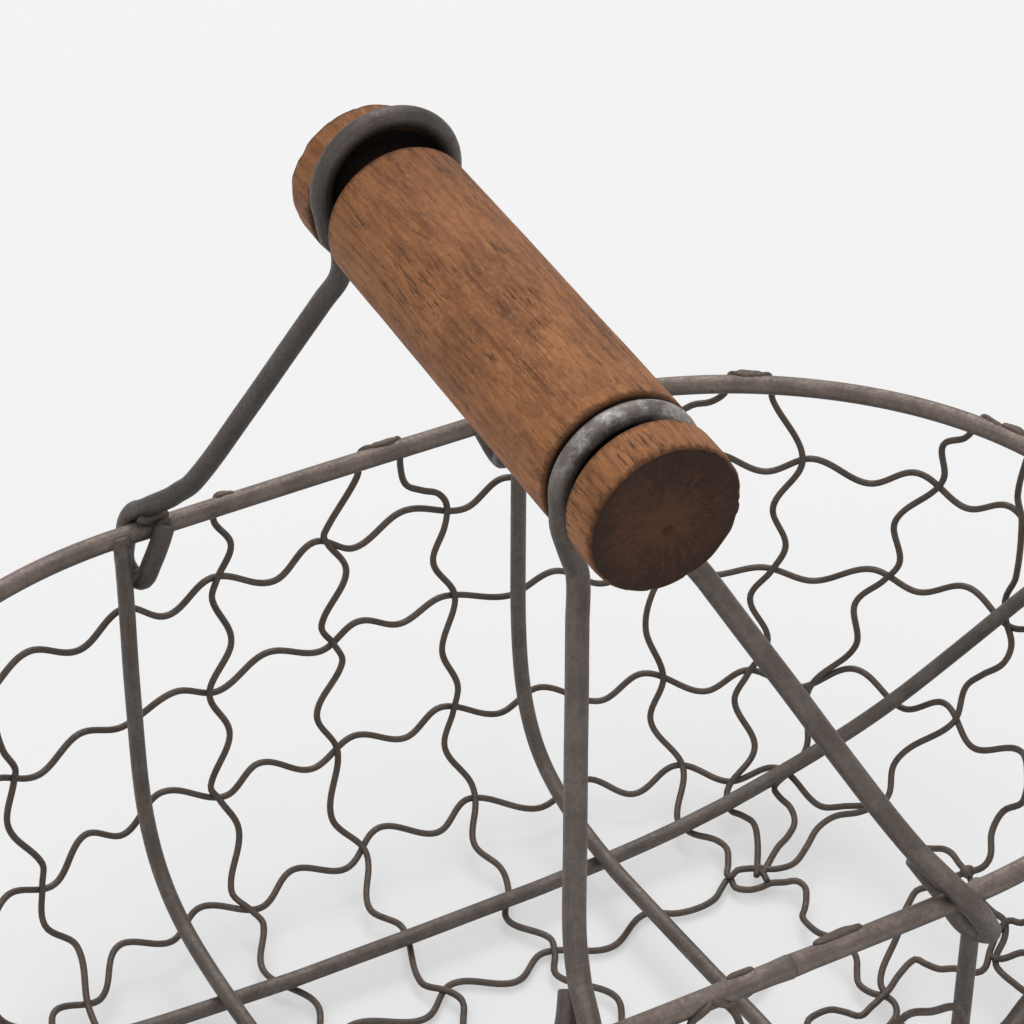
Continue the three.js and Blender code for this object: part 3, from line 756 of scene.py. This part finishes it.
def makeGrip():
    shape = newShape()
    half = gripPlan["length"] / 2
    verts = [shape.verts.new(point) for point in gripOutline()]
    edges = [shape.edges.new(pair) for pair in zip(verts, verts[1:])]
    bmesh.ops.spin(
        shape, geom=verts + edges, cent=(0, 0, 0), axis=(0, 1, 0), angle=2 * math.pi,
        steps=gripPlan["turns"], use_merge=True,
    )
    bmesh.ops.remove_doubles(shape, verts=shape.verts, dist=0.001)
    bmesh.ops.recalc_face_normals(shape, faces=shape.faces)
    for face in shape.faces:
        onEnd = abs(face.calc_center_median().y) > half - 0.2 and abs(face.normal.y) > 0.8
        face.material_index = 1 if onEnd else 0
    for vert in shape.verts:
        place = vert.co.copy()
        radial = Vector((place.x, 0, place.z))
        dent = noise.noise(Vector((place.x * 0.05, place.y * 0.03, place.z * 0.05)))
        fine = noise.noise(Vector((place.x * 0.3, place.y * 0.12, place.z * 0.3)) + Vector((9, 0, 0)))
        if radial.length > 1:
            atEnd = max(0, 1 - (half - abs(place.y)) / wearPlan["edgeLength"])
            atEnd *= min(1, radial.length / gripPlan["radius"])
            chip = max(0, noise.noise(place * 0.6 + Vector((0, 0, 31))) - 0.1)
            wear = wearPlan["all"] + wearPlan["dent"] * dent + wearPlan["ripple"] * fine
            wear += atEnd * (wearPlan["edge"] * (1 + fine) + wearPlan["chip"] * chip)
            vert.co -= radial.normalized() * wear
        if abs(place.y) > half - 0.02:
            hole = (radial - gripPlan["pinMark"]).length / gripPlan["pinRadius"]
            sink = wearPlan["face"] * (1 + fine) + gripPlan["pinDepth"] * max(0, 1 - hole ** 2)
            vert.co.y -= math.copysign(sink, place.y)
    bmesh.ops.transform(shape, matrix=gripPose, verts=shape.verts)
    return finishPiece(shape, "woodenGrip", [gripWood, endGrain], "grip", ["grip"])


makeGrip()
print("grip made")

# Net of thin wavy wire: hoops outside, cross and end wires against the hull
netPlan = {
    "radius": 0.75, "sides": 8, "step": 1.1, "hoopOffset": 4.28, "wireOffset": 3.3, "crimp": 2.7,
    "pitch": 24.2, "hoopJoint": 540.0, "hoopWobble": (0.12, 0.05), "wobble": (0.1, 0.05),
}


# Thin wire through guide points, a little uneven
def bendWire(guide, sway, seed):
    shape = newShape()
    path = wobble(smoothPath(guide, netPlan["step"]), *sway, seed)
    sweepWire(shape, path, netPlan["radius"], netPlan["sides"])
    return shape


def finishNet(shape, node):
    return finishPiece(shape, node.title().replace("_", ""), [netWire], "frame", [node])


# Crests and dips of each hoop on the far side and right end: length along the rim, depth down the wall
hoopPlans = {
    "net_hoop_1": {"depth": 23.2, "endRise": 0, "waves": [
        (-66.4, 22.6), (-54.6, 28.3), (-45, 21.8), (-35, 27.3), (-24.3, 21.1), (-10, 27.3), (0, 20.4),
        (10, 25.4), (22, 19.7), (37, 24.4), (46.4, 19.4), (57.5, 25), (68.6, 20.5), (79.7, 25.5),
        (90.8, 21), (102, 25.7), (112, 21.1), (124.3, 25.4), (135, 19.7), (147, 24.7), (157.9, 19.7)],
        "near": [
            (66, 24), (60, 26.5), (55.7, 29), (53.7, 31), (51.7, 33), (47.5, 34.5), (43.5, 30),
            (41.3, 24.5), (39.5, 22), (34.7, 21), (29.7, 19.2), (27, 20.5), (23.5, 25), (16, 27)]},
    "net_hoop_2": {"depth": 49.5, "endRise": 3, "waves": [
        (-66.4, 55.4), (-56.4, 50.1), (-47, 52.9), (-34.6, 48.3), (-24.3, 51.9), (-12.4, 46), (0.7, 50.4),
        (10, 45.7), (20.7, 50.1), (31.4, 46.6), (47.9, 52.3), (58, 48.8), (68.6, 54.7), (80, 50),
        (91.5, 54.5), (103, 51.9), (114, 54), (127, 47.9), (138.6, 50), (150.7, 44), (164.3, 47.6)]},
    "net_hoop_3": {"depth": 77.5, "endRise": 5, "waves": [
        (-80, 78.3), (-68.6, 82.6), (-58.6, 75.7), (-50, 79.4), (-40, 73), (-25.7, 79), (-16.4, 74),
        (-4.3, 79.7), (7.1, 75.4), (19.3, 80), (29.3, 75.7), (43, 81.9), (53.6, 78.6), (67, 84.7),
        (77.4, 79.4), (91.4, 84), (101.4, 78.3), (114, 80.5), (127, 73), (142.9, 77.3), (154, 71.6),
        (169, 76), (184, 69.4)]},
    "net_hoop_4": {"depth": 103, "endRise": 2, "waves": [
        (-89, 104.7), (-76.4, 109.4), (-62, 101.6), (-49.3, 106), (-38.6, 100.9), (-26.4, 105.9),
        (-15.7, 100), (-4.3, 104), (7.1, 97.6), (19.3, 103.3), (30, 98.3), (44.3, 106), (60, 102.3),
        (72, 108), (85, 101.4), (100, 105), (112.9, 100), (130, 105.9), (140, 103), (147, 100.8),
        (155, 100.6), (163, 101.2), (171, 101), (177, 100.2), (180.5, 98.8), (184, 97.2), (188, 96.6),
        (193, 97), (198.5, 97.2), (203, 98.2), (209, 99), (215, 98.8), (220, 98), (225, 100), (230, 104),
        (234, 105), (243, 102.5), (250, 99.5), (258, 98.5)]},
    "net_hoop_5": {"depth": 147, "endRise": 18, "mirror": (126, 30, 345), "waves": [
        (-23.1, 145.1), (-9.3, 151), (1.4, 144.3), (13.6, 150.4), (23.6, 145.4), (37, 151), (60, 144.7),
        (80, 145.6), (94, 143.5), (102, 140), (104.5, 136), (107, 133), (111, 135), (118.5, 134.3),
        (124, 132), (127, 130), (133, 128), (138, 126), (144, 126), (149, 128), (153, 130.2), (156, 132),
        (164, 132), (175, 131), (188, 128.5), (200, 128), (207, 129), (214, 131), (223, 133), (231, 132),
        (234, 130), (239, 129), (246, 129.7)]},
}


def hoopDepth(plan, along):
    return plan["depth"] - plan["endRise"] * math.sin(rimPlace(along)[2]) ** 2


# Crests and dips at the usual pitch between two stretches that are known
def bridgeHoop(plan, before, after):
    gap = after[0][0] - before[1][0]
    lastSign = 1 if before[1][1] > before[0][1] else -1
    nextSign = 1 if after[0][1] > after[1][1] else -1
    steps = round(gap / (netPlan["pitch"] / 2))
    if (steps % 2 == 0) != (lastSign == nextSign):
        steps += 1
    shifts = [(a[1] + b[1] - hoopDepth(plan, a[0]) - hoopDepth(plan, b[0])) / 2 for a, b in (before, after)]
    rest = []
    for i in range(1, steps):
        along = before[1][0] + gap * i / steps
        depth = hoopDepth(plan, along) + blend(*shifts, i / steps)
        rest.append((along, depth + lastSign * (-1) ** i * netPlan["crimp"]))
    return rest


# A hoop may repeat its far side on the near side, then its right end on the left.
# Its ends meet on the near side of the left end
def closeHoop(plan):
    line = list(plan["waves"])
    if "mirror" in plan:
        farMost, tail, lead = plan["mirror"]
        line += [(nearMiddle - along, depth) for along, depth in reversed(line) if along < farMost]
        line += [(rimLength - along, depth) for along, depth in reversed(line) if tail < along < lead]
    near = [(nearMiddle - x, depth) for x, depth in plan.get("near", [])]
    if near:
        line += bridgeHoop(plan, line[-2:], near[:2]) + near
    again = [(along + rimLength, depth) for along, depth in line[:2]]
    line += bridgeHoop(plan, line[-2:], again)
    joint = next(i for i, place in enumerate(line) if place[0] > netPlan["hoopJoint"])
    return line[joint:] + [(along + rimLength, depth) for along, depth in line[:joint + 1]]


def makeHoop(node, seed):
    guide = [wallPoint(along, depth, netPlan["hoopOffset"]) for along, depth in closeHoop(hoopPlans[node])]
    return finishNet(bendWire(guide, netPlan["hoopWobble"], seed), node)


for index, node in enumerate(hoopPlans):
    makeHoop(node, 23 + index)
print("hoops made")


# Tie of a wire end round the rim, sinking into the finish: up the outer side, or under the rim and up inside
tiePlan = {
    "outer": [(-25, 2.9), (15, 2.6), (48, 2.2), (62, 1.9), (68, 1.7), (68, 1.4)],
    "inner": [(-80, 2.9), (-125, 2.85), (-165, 2.6), (-205, 2.2), (-228, 1.8), (-235, 1.4)],
    "shares": (0, 0.15, 0.35, 0.6, 0.85, 1.0),
}


def rimTie(start, finish, way="outer"):
    turns = zip(tiePlan["shares"], tiePlan[way])
    return [besideRim(blend(start, finish, share), degrees, distance) for share, (degrees, distance) in turns]


# Lump where the ends of two wires are twisted together on the rim
def addKnot(shape, along, degrees, radii, seed):
    tangent = besideRim(along + 0.5, 0, 0) - besideRim(along - 0.5, 0, 0)
    addLump(shape, besideRim(along, degrees, 2.0), radii, tangent.to_track_quat("X", "Z"), seed)


# Wires across the basket: tie on the far rim, side shift and depth down the far wall,
# then the same up the near wall, the near tie and the knots on the rim
crossPlans = {
    "net_cross_wire_1": {"tie": (-23.6, -20), "waves": [
        (-23.6, 6), (-20, 13.3), (-23.6, 21), (-25, 26), (-21, 39), (-26.9, 51), (-22.9, 63.3),
        (-28.9, 74.7), (-27.4, 78.6), (-24.7, 86.9), (-31.1, 99), (-28.9, 105), (-27.9, 109), (-33.6, 121),
        (-27.9, 134.7), (-32, 147)],
        "near": [(-17, 14), (-19, 8), (-18, 3)],
        "nearTurns": [(-16.8, -38, 2.8), (-15.2, -5, 2.6), (-13.2, 12, 2.3), (-12.6, 14, 1.8)],
        "knots": [(-22.5, 60, (1.7, 0.8, 0.8)), (nearMiddle + 4.8, 122, (2.8, 0.75, 0.7))]},
    "net_cross_wire_2": {"tie": (10.3, 16), "waves": [
        (10.3, 6), (2.1, 18.3), (2.6, 20.7), (7.1, 30.4), (0.7, 42.6), (3.6, 49), (5.3, 54.7), (-1.7, 66),
        (2.1, 77), (-3.1, 91), (1.4, 101), (-4.6, 114.7), (-0.7, 123), (-5, 140), (-1.1, 145.4), (0, 149.7),
        (-4, 159)],
        "near": [(-3, 14), (-7, 6), (-8.3, 2.5)],
        "nearTurns": [(-9, -38, 2.8), (-10.2, -5, 2.6), (-11.6, 12, 2.3), (-12.2, 14, 1.8)],
        "knots": [(15.7, 60, (3.1, 1.1, 1)), (nearMiddle - 15.8, 122, (5.3, 0.95, 0.9))]},
    "net_cross_wire_3": {"tie": (20.7, 15.5), "waves": [
        (20.7, 6), (22, 12), (26, 15), (30, 17.2), (32.1, 21), (31.6, 26.5), (28.6, 35.4), (34, 47),
        (30.3, 60.4), (33.6, 71), (31.7, 77), (27.9, 84.7), (31.4, 94), (30.7, 98.6), (25.4, 108.3),
        (27.6, 116.9), (25.7, 124), (21.1, 131.9), (26.4, 141), (25, 146), (22, 152.6), (29.7, 164)],
        "near": [(60, 42), (64, 31), (60, 20), (64, 10), (65, 5)],
        "nearTie": (65.5, 62.5), "knots": []},
}


def makeCrossWire(node, seed):
    plan = crossPlans[node]
    offset = netPlan["wireOffset"]
    waves = plan["waves"]
    span = wallLength(waves[-1][0], offset)
    middle = (waves[-1][0] + waves[-2][0]) / 2
    sign = 1 if waves[-1][0] > waves[-2][0] else -1
    guide = list(reversed(rimTie(*plan["tie"]))) + [wallPoint(along, depth, offset) for along, depth in waves]
    goal, lastDepth = plan["near"][0]
    unseen = 2 * span - lastDepth - waves[-1][1]
    steps = round(unseen / (netPlan["pitch"] / 2))
    for i in range(1, steps):
        travel = waves[-1][1] + unseen * i / steps
        side = blend(middle, goal, i / steps) + sign * (-1) ** i * netPlan["crimp"]
        if travel < span:
            guide.append(wallPoint(side, travel, offset))
        else:
            guide.append(wallPoint(nearMiddle - side, 2 * span - travel, offset))
    guide += [wallPoint(nearMiddle - x, depth, offset) for x, depth in plan["near"]]
    for x, degrees, distance in plan.get("nearTurns", []):
        guide.append(besideRim(nearMiddle - x, degrees, distance))
    if "nearTie" in plan:
        guide += rimTie(*[nearMiddle - x for x in plan["nearTie"]], "inner")
    shape = bendWire(guide, netPlan["wobble"], seed)
    for along, degrees, radii in plan["knots"]:
        addKnot(shape, along, degrees, radii, seed + along)
    return finishNet(shape, node)


for index, node in enumerate(crossPlans):
    makeCrossWire(node, 31 + index)
print("cross wires made")

# End wires of the right end, far side to the middle: tie on the rim, then shift and depth
endPlans = [
    {"tie": (93.5, 97), "knot": (97.9, (3.1, 1.1, 1)), "waves": [
        (92.9, 4), (90, 6.4), (86, 7.2), (82.5, 11), (85, 20), (82, 34), (85, 46), (79.3, 58), (77.9, 68),
        (81.9, 80), (78.6, 90), (86.4, 101), (84.3, 115), (88.6, 119.2), (98, 121), (103, 123.2),
        (105.2, 128), (107, 131.8), (110, 129.2), (114, 128), (118, 127.2), (122, 127.8), (125.5, 129.2)]},
    {"tie": (102.9, 98.5), "waves": [
        (102.9, 5.4), (110, 21), (104.3, 34.7), (107.6, 44.7), (105, 51.9), (100.7, 59.7), (105.4, 69.7),
        (101.4, 79), (99, 85.4), (105.7, 95.4), (100, 106), (101.5, 111.8), (106, 113), (110.5, 114.5),
        (114, 119), (117.8, 126), (119.5, 129)]},
    {"tie": (149, 156), "knot": (158.6, (3.1, 1.1, 1)), "waves": [
        (145.7, 6), (140.7, 9.7), (141.7, 17.6), (140, 21.9), (131.4, 33.3), (133.6, 43.3), (130.7, 49),
        (124.6, 56.9), (126.4, 66.9), (117, 79.7), (120, 92.6), (117, 99.7), (114, 104), (116.5, 106.2),
        (121.5, 108.2), (125, 111.5), (124.8, 115.5), (123, 119), (122.2, 124.5), (122, 128)]},
    {"tie": (163, 159), "waves": [
        (161, 6), (160, 15.4), (162, 21), (163.2, 35), (161.8, 41), (163.2, 45.5), (167.2, 50.2),
        (166.8, 55.2), (162, 60.5), (158.8, 65), (159.8, 73.3), (150, 84), (148, 89), (151.9, 96),
        (146, 102), (138, 106), (134.2, 110.5), (134, 116), (133, 121.5), (127, 125), (122, 126.2),
        (117, 126.5)]},
    {"tie": (190, 184), "waves": [
        (190, 6), (187, 16), (191, 28), (186, 40), (191, 52), (186, 64), (195, 76), (192, 81), (194, 86),
        (200, 90), (201.2, 93), (198.6, 96.5), (196, 100.5), (193, 105), (191.5, 107), (194, 110),
        (199, 114), (205, 117), (219, 125), (228, 128),
        (234, 128.5)], "twist": (198.6, 95.9, (1.6, 1.3, 1.3))},
]
# First wire of the left end
leftFirst = {"tie": (-76, -82), "waves": [
    (-76, 6), (-74.6, 16), (-75, 26), (-75.8, 35), (-74.6, 43.3), (-72.2, 49.7), (-72.9, 52.5),
    (-76.1, 62.6), (-70.3, 76), (-72, 80.4), (-75.7, 88.3), (-71.7, 96), (-81.7, 107.9), (-92, 118),
    (-98, 121), (-103, 123.2), (-105.2, 128), (-107, 131.8), (-110, 129.2), (-114, 128)]}
# Lower parts of two near wires of the right end, which pass behind the near rim: waves kept, then the tail
rightTails = {
    5: (10, [
        (153, 86), (151.2, 91.5), (151.9, 94.3), (154.7, 96.2), (153.2, 99.4), (148.4, 103.2),
        (142.7, 106.4), (142.7, 109), (146.7, 112), (148.7, 115), (153.7, 117), (156.7, 118), (151.7, 123),
        (144.7, 127), (139.7, 130), (134.4, 133), (128, 136.2), (130.9, 139.2), (132.9, 142.2),
        (124.7, 147), (117.5, 148.5), (111, 148)]),
    6: (10, [(126, 89), (136, 94), (142.7, 97), (144, 102), (147, 104.2)]),
}
endTip = nearMiddle / 2
leftStretch = 1.027
endWires = 9
knotTurn = 60


# Place of a right-end wire carried over to its own end and side
def carry(along, left, near):
    if left:
        along = (endTip - along) * leftStretch - endTip
    return nearMiddle - along if near else along


def makeEndWire(node, plan, left, near, seed):
    offset = netPlan["wireOffset"]
    guide = list(reversed(rimTie(*[carry(along, left, near) for along in plan["tie"]])))
    guide += [wallPoint(carry(along, left, near), depth, offset) for along, depth in plan["waves"]]
    shape = bendWire(guide, netPlan["wobble"], seed)
    if "knot" in plan:
        along, radii = plan["knot"]
        addKnot(shape, carry(along, left, near), knotTurn, radii, seed)
    if "twist" in plan:
        along, depth, radii = plan["twist"]
        addLump(shape, wallPoint(carry(along, left, near), depth, offset), radii, Quaternion(), seed)
    return finishNet(shape, node)


for index in range(endWires):
    plan = endPlans[min(index, endWires - 1 - index)]
    near = index >= len(endPlans)
    kept, tail = rightTails.get(index, (len(plan["waves"]), []))
    rightPlan = dict(plan, waves=plan["waves"][:kept] + tail)
    makeEndWire("net_end_wire_right_%d" % (index + 1), rightPlan, False, near, 41 + index)
    if index == 0:
        makeEndWire("net_end_wire_left_1", leftFirst, False, False, 51)
    else:
        makeEndWire("net_end_wire_left_%d" % (index + 1), plan, True, near, 51 + index)
print("end wires made")

# One wavy wire along the middle of the floor
keelPlan = {"halfLength": 66.0, "height": 2.2, "wave": 2.6}


def makeKeel():
    count = 2 * round(keelPlan["halfLength"] / netPlan["pitch"] * 2)
    guide = []
    for i in range(count + 1):
        x = blend(-keelPlan["halfLength"], keelPlan["halfLength"], i / count)
        guide.append(Vector((x, keelPlan["wave"] * (-1) ** i, keelPlan["height"])))
    shape = newShape()
    sweepWire(shape, smoothPath(guide, netPlan["step"]), netPlan["radius"], netPlan["sides"])
    return finishPiece(shape, "netKeelWire", [netWire], "frame", ["net_keel_wire"])


makeKeel()
print("net made")

# Plain pale floor, soft studio light and the camera of the photograph
stagePlan = {
    "floorSize": 8.0, "floorColour": (0.49, 0.49, 0.49, 1), "floorGlow": 0.4, "worldStrength": 0.45,
    "keyPlace": Vector((-0.15, -0.05, 2.3)), "keySize": 4.4, "keyPower": 35.0,
    "backPlace": Vector((1.5, 2.8, 3.2)), "backSize": 2.0, "backPower": 58.0, "aim": Vector((0, 0, 0.08)),
}


def makeStage():
    shape = bmesh.new()
    bmesh.ops.create_grid(shape, x_segments=1, y_segments=1, size=stagePlan["floorSize"] / 2)
    mesh = bpy.data.meshes.new("floor")
    shape.to_mesh(mesh)
    shape.free()
    material, tree, shader = newMaterial("paleFloor")
    setShader(tree, shader, {
        "Base Color": stagePlan["floorColour"], "Emission Color": (1, 1, 1, 1),
        "Emission Strength": stagePlan["floorGlow"], "Roughness": 0.95, "Specular IOR Level": 0.0,
    })
    mesh.materials.append(material)
    floor = bpy.data.objects.new("floor", mesh)
    bpy.context.scene.collection.objects.link(floor)
    world = bpy.data.worlds.new("studio")
    world.use_nodes = True
    backdrop = world.node_tree.nodes["Background"]
    backdrop.inputs["Color"].default_value = (1, 1, 1, 1)
    backdrop.inputs["Strength"].default_value = stagePlan["worldStrength"]
    bpy.context.scene.world = world
    for name in ("key", "back"):
        place = stagePlan[name + "Place"]
        light = bpy.data.lights.new(name + "Light", "AREA")
        light.shape = "DISK"
        light.size = stagePlan[name + "Size"]
        light.energy = stagePlan[name + "Power"]
        lamp = bpy.data.objects.new(name + "Light", light)
        lamp.location = place
        lamp.rotation_mode = "QUATERNION"
        lamp.rotation_quaternion = (stagePlan["aim"] - place).to_track_quat("-Z", "Y")
        bpy.context.scene.collection.objects.link(lamp)


cameraPlan = {
    "place": Vector((-0.27485, -0.47972, 0.55140)), "azimuth": math.radians(-29.54),
    "elevation": math.radians(36.029), "roll": math.radians(0.45), "lens": 128.25, "sensor": 36.0,
}


def makeCamera():
    azimuth, elevation = cameraPlan["azimuth"], cameraPlan["elevation"]
    level = math.cos(elevation)
    back = Vector((math.sin(azimuth) * level, -math.cos(azimuth) * level, math.sin(elevation)))
    camera = bpy.data.cameras.new("photoCamera")
    camera.lens = cameraPlan["lens"]
    camera.sensor_width = cameraPlan["sensor"]
    camera.dof.use_dof = False
    holder = bpy.data.objects.new("photoCamera", camera)
    holder.location = cameraPlan["place"]
    holder.rotation_mode = "QUATERNION"
    holder.rotation_quaternion = (-back).to_track_quat("-Z", "Y") @ Quaternion((0, 0, 1), cameraPlan["roll"])
    bpy.context.scene.collection.objects.link(holder)
    bpy.context.scene.camera = holder
    bpy.context.scene.view_settings.view_transform = "Standard"


makeStage()
makeCamera()
print("stage made")
